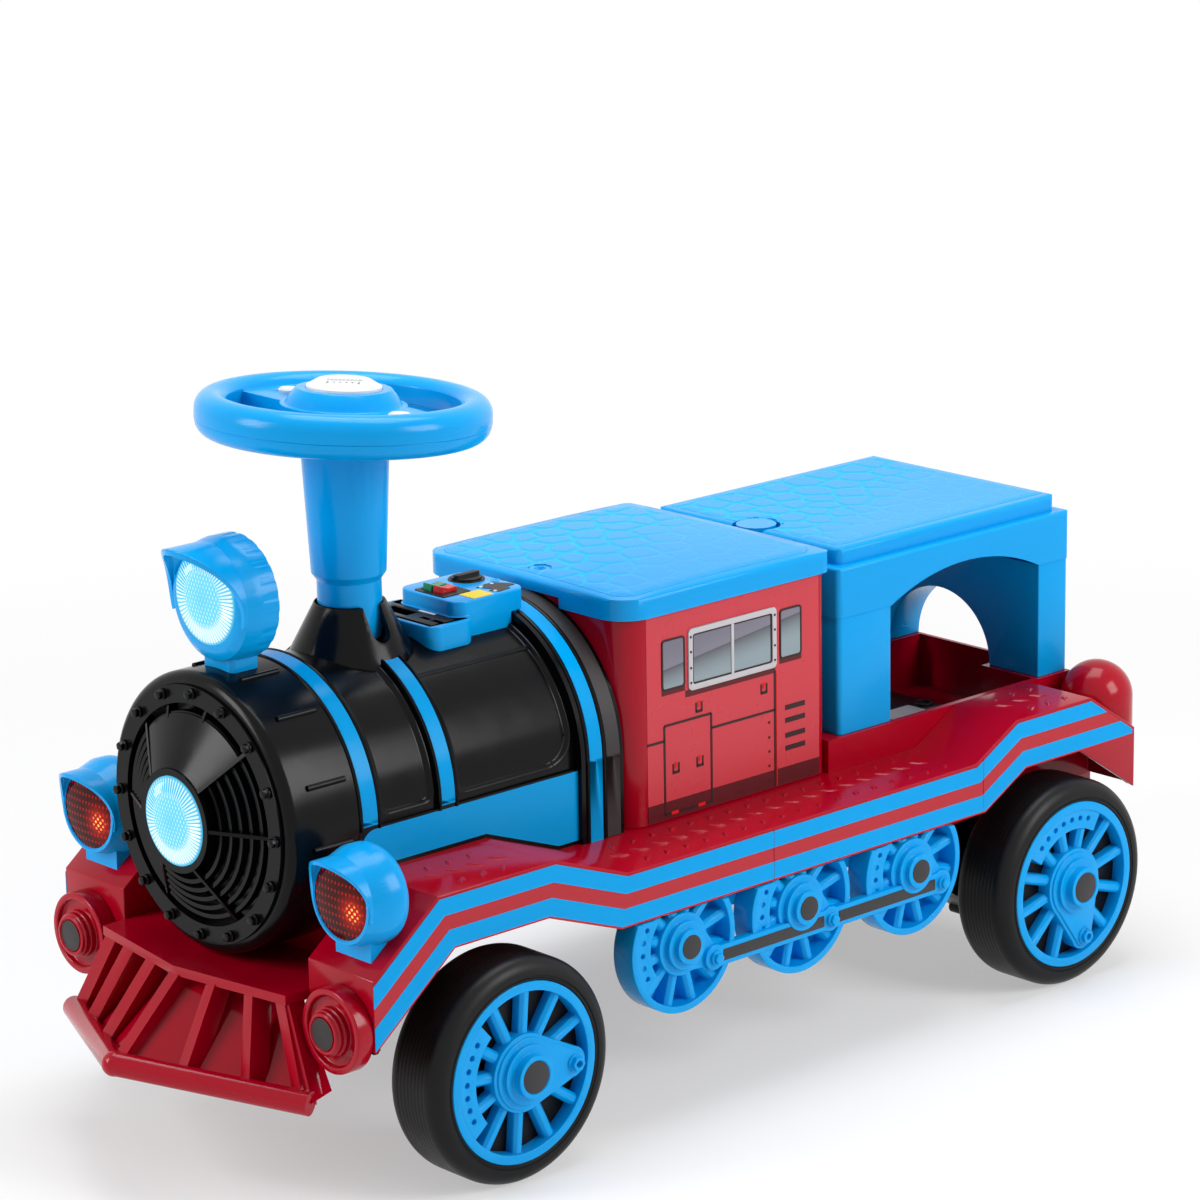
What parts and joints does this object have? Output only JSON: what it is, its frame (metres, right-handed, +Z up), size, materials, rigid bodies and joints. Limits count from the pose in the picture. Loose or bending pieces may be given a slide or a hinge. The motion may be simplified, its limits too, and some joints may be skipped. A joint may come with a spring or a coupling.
{
  "type": "ride-on train",
  "caption": "Moulded ride-on toy train with steered wheels, boiler front with louvred grille, cab seat and a lift-off rear bench over a storage tub.",
  "frame": {"origin": "on the floor under the middle of the bounding box", "axes": "+X forward, +Y to the rider's left, +Z up"},
  "size_m": [1.045, 0.48, 0.627],
  "materials": {
    "red_plastic": "moulded, semi-gloss",
    "blue_plastic": "moulded, semi-gloss",
    "black_plastic": "moulded, semi-gloss",
    "tyre_plastic": "blow-moulded hollow wheel, satin",
    "steel": "zinc plated",
    "battery_case": "plain",
    "clear_lens": "moulded lens, lit from behind",
    "red_lens": "moulded lens with a grid",
    "pale_plastic": "moulded, semi-gloss",
    "green_plastic": "moulded, gloss",
    "rocker_red": "moulded, gloss"
  },
  "bodies": {
    "chassis": {"running_board": "red_plastic", "storage_tub": "red_plastic", "battery_cover": "black_plastic", "underframe": "black_plastic", "battery": "battery_case", "rear_axle": "steel", "rear_axle_brackets": "steel", "rear_nuts": "steel", "drive_gearbox": "black_plastic", "drive_motor": "steel", "front_axle_beam": "steel", "kingpins": "steel", "cowcatcher": "red_plastic", "buffers": "red_plastic", "boiler_shell": "black_plastic", "smokebox_front": "black_plastic", "smokebox_bolts": "black_plastic", "boiler_lens": "clear_lens", "headlamp_housing": "blue_plastic", "headlamp_lens": "clear_lens", "left_lamp_housing": "blue_plastic", "right_lamp_housing": "blue_plastic", "left_lamp_lens": "red_lens", "right_lamp_lens": "red_lens", "chimney_cone": "black_plastic", "console": "blue_plastic", "media_panel": "black_plastic", "cab_shell": "red_plastic", "cab_roof": "blue_plastic", "left_wheel_trim": "blue_plastic", "right_wheel_trim": "blue_plastic", "tail_domes": "red_plastic"},
    "steering": {"steering_shaft": "steel", "steering_sleeve": "blue_plastic", "steering_wheel_bottom": "blue_plastic", "steering_wheel_top": "blue_plastic", "speaker_cap": "pale_plastic"},
    "left_button": {"left_button": "pale_plastic"},
    "right_button": {"right_button": "pale_plastic"},
    "left_knuckle": {"left_knuckle": "steel", "front_left_nut": "steel"},
    "right_knuckle": {"right_knuckle": "steel", "front_right_nut": "steel"},
    "tie_rod": {"tie_rod": "steel"},
    "front_left_wheel": {"front_left_tyre": "tyre_plastic", "front_left_cover": "blue_plastic"},
    "front_right_wheel": {"front_right_tyre": "tyre_plastic", "front_right_cover": "blue_plastic"},
    "rear_left_wheel": {"rear_left_tyre": "tyre_plastic", "rear_left_cover": "blue_plastic"},
    "rear_right_wheel": {"rear_right_tyre": "tyre_plastic", "rear_right_cover": "blue_plastic"},
    "key_knob": {"key_knob": "black_plastic"},
    "green_rocker": {"green_rocker": "green_plastic"},
    "red_rocker": {"red_rocker": "rocker_red"},
    "foot_pedal": {"foot_pedal": "black_plastic"},
    "bench": {"bench_top": "blue_plastic", "bench_front_legs": "blue_plastic", "bench_rear_legs": "blue_plastic"}
  },
  "joints": [
    {"name": "steer", "type": "hinge", "parent": "chassis", "child": "steering", "pos_m": [0.254, 0, 0.3], "axis": [0, 0, 1], "range_deg": [-35, 35]},
    {"name": "left_steer", "type": "hinge", "parent": "chassis", "child": "left_knuckle", "pos_m": [0.273, 0.148, 0.095], "axis": [0, 0, 1], "range_deg": [-21, 21]},
    {"name": "right_steer", "type": "hinge", "parent": "chassis", "child": "right_knuckle", "pos_m": [0.273, -0.148, 0.095], "axis": [0, 0, 1], "range_deg": [-21, 21]},
    {"name": "tie_rod_pivot", "type": "hinge", "parent": "left_knuckle", "child": "tie_rod", "pos_m": [0.228, 0.148, 0.116], "axis": [0, 0, 1], "range_deg": [-21, 21]},
    {"name": "front_left_spin", "type": "hinge", "parent": "left_knuckle", "child": "front_left_wheel", "pos_m": [0.273, 0.195, 0.095], "axis": [0, 1, 0], "continuous": true},
    {"name": "front_right_spin", "type": "hinge", "parent": "right_knuckle", "child": "front_right_wheel", "pos_m": [0.273, -0.195, 0.095], "axis": [0, 1, 0], "continuous": true},
    {"name": "rear_left_spin", "type": "hinge", "parent": "chassis", "child": "rear_left_wheel", "pos_m": [-0.387, 0.195, 0.095], "axis": [0, 1, 0], "continuous": true},
    {"name": "rear_right_spin", "type": "hinge", "parent": "chassis", "child": "rear_right_wheel", "pos_m": [-0.387, -0.195, 0.095], "axis": [0, 1, 0], "continuous": true},
    {"name": "left_button_press", "type": "slide", "parent": "steering", "child": "left_button", "axis": [-0.0698, 0, 0.9976], "range_m": [-0.002, 0], "stiffness_N_per_m": 400, "springref_m": 0.002},
    {"name": "right_button_press", "type": "slide", "parent": "steering", "child": "right_button", "axis": [-0.0698, 0, 0.9976], "range_m": [-0.002, 0], "stiffness_N_per_m": 400, "springref_m": 0.002},
    {"name": "key_turn", "type": "hinge", "parent": "chassis", "child": "key_knob", "pos_m": [0.113, -0.017, 0.43], "axis": [0, 0, 1], "range_deg": [-90, 0]},
    {"name": "green_rock", "type": "hinge", "parent": "chassis", "child": "green_rocker", "pos_m": [0.153, -0.012, 0.425], "axis": [0, 1, 0], "range_deg": [0, 14]},
    {"name": "red_rock", "type": "hinge", "parent": "chassis", "child": "red_rocker", "pos_m": [0.153, 0.001, 0.425], "axis": [0, 1, 0], "range_deg": [0, 14]},
    {"name": "pedal_press", "type": "hinge", "parent": "chassis", "child": "foot_pedal", "pos_m": [0.06, -0.165, 0.232], "axis": [0, 1, 0], "range_deg": [0, 8], "stiffness_Nm_per_rad": 1.5, "springref_deg": -5.73},
    {"name": "bench_lift", "type": "slide", "parent": "chassis", "child": "bench", "axis": [0, 0, 1], "range_m": [0, 0.15]}
  ],
  "couplings": [
    {"joint": "left_steer", "follows": "steer", "ratio": 0.57778},
    {"joint": "right_steer", "follows": "steer", "ratio": 0.57778},
    {"joint": "tie_rod_pivot", "follows": "steer", "ratio": -0.57778}
  ]
}
